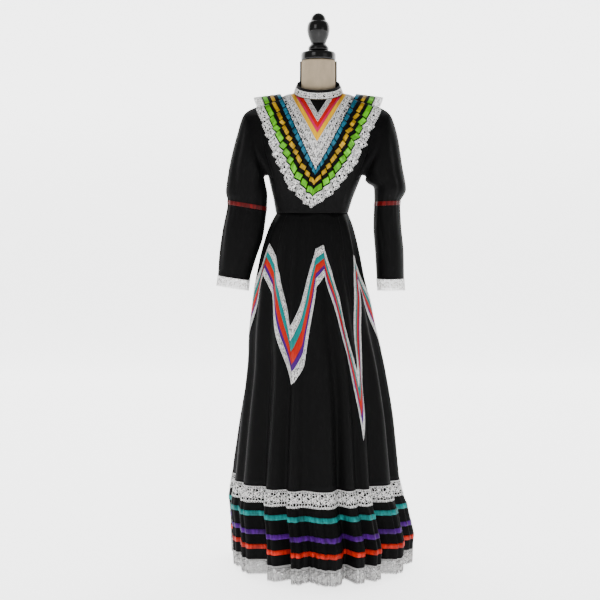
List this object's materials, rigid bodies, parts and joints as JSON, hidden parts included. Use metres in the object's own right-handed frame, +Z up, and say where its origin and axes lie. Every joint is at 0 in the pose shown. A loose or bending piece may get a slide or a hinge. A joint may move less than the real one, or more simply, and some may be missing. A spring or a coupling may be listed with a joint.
{
  "type": "jalisco dress on a dress form",
  "caption": "Black folk dance dress with a ribboned V ruffle, a zigzag band of lace and ribbon round its full skirt and a lace-edged flounce, standing on a limbless dress form.",
  "frame": {"origin": "middle of the underside of the form's base, on the floor under the pole", "axes": "+Z up along the pole; the front of the dress faces -Y; +X is the wearer's left"},
  "size_m": [0.6094, 0.5589, 1.701],
  "materials": {
    "cloth_black": "matt cotton and polyester with a soft grey sheen",
    "lace_white": "raschel lace with floral motifs and small holes",
    "satin_red": "satin ribbon",
    "satin_pink": "satin ribbon",
    "satin_yellow": "satin ribbon",
    "satin_blue": "satin ribbon",
    "satin_gold": "satin ribbon",
    "satin_lime": "satin ribbon",
    "satin_teal": "satin ribbon",
    "satin_orange_red": "satin ribbon",
    "satin_purple": "satin ribbon",
    "linen_cover": "unbleached linen cover",
    "lacquer_black": "black lacquer, high gloss",
    "steel_black": "black enamel"
  },
  "bodies": {
    "root": {"bertha_back_left": "cloth_black", "bertha_back_right": "cloth_black", "bertha_front_left": "cloth_black", "bertha_front_right": "cloth_black", "bertha_lace": "lace_white", "bertha_ribbon_blue": "satin_blue", "bertha_ribbon_gold": "satin_gold", "bertha_ribbon_lime": "satin_lime", "bodice_back_left": "cloth_black", "bodice_back_right": "cloth_black", "bodice_front": "cloth_black", "chest_lace_narrow": "lace_white", "chest_lace_wide": "lace_white", "chest_ribbon_pink": "satin_pink", "chest_ribbon_red": "satin_red", "chest_ribbon_yellow": "satin_yellow", "collar": "cloth_black", "collar_lace": "lace_white", "cuff_lace_left": "lace_white", "cuff_lace_right": "lace_white", "flounce_back": "cloth_black", "flounce_back_side_left": "cloth_black", "flounce_back_side_right": "cloth_black", "flounce_front": "cloth_black", "flounce_lace": "lace_white", "flounce_ribbon_purple": "satin_purple", "flounce_ribbon_red": "satin_orange_red", "flounce_ribbon_teal": "satin_teal", "flounce_side_left": "cloth_black", "flounce_side_right": "cloth_black", "form_base": "lacquer_black", "form_finial": "lacquer_black", "form_neck_cap": "lacquer_black", "form_pole": "steel_black", "form_torso": "linen_cover", "hem_lace_back": "lace_white", "hem_lace_back_side_left": "lace_white", "hem_lace_back_side_right": "lace_white", "hem_lace_front": "lace_white", "hem_lace_side_left": "lace_white", "hem_lace_side_right": "lace_white", "skirt_back": "cloth_black", "skirt_back_side_left": "cloth_black", "skirt_back_side_right": "cloth_black", "skirt_front": "cloth_black", "skirt_side_left": "cloth_black", "skirt_side_right": "cloth_black", "sleeve_left_lower": "cloth_black", "sleeve_left_ribbon": "satin_red", "sleeve_left_upper": "cloth_black", "sleeve_right_lower": "cloth_black", "sleeve_right_ribbon": "satin_red", "sleeve_right_upper": "cloth_black", "zigzag_lace_lower": "lace_white", "zigzag_lace_upper": "lace_white", "zigzag_purple": "satin_purple", "zigzag_red": "satin_orange_red", "zigzag_teal": "satin_teal", "zip_pull": "steel_black"}
  },
  "joints": []
}
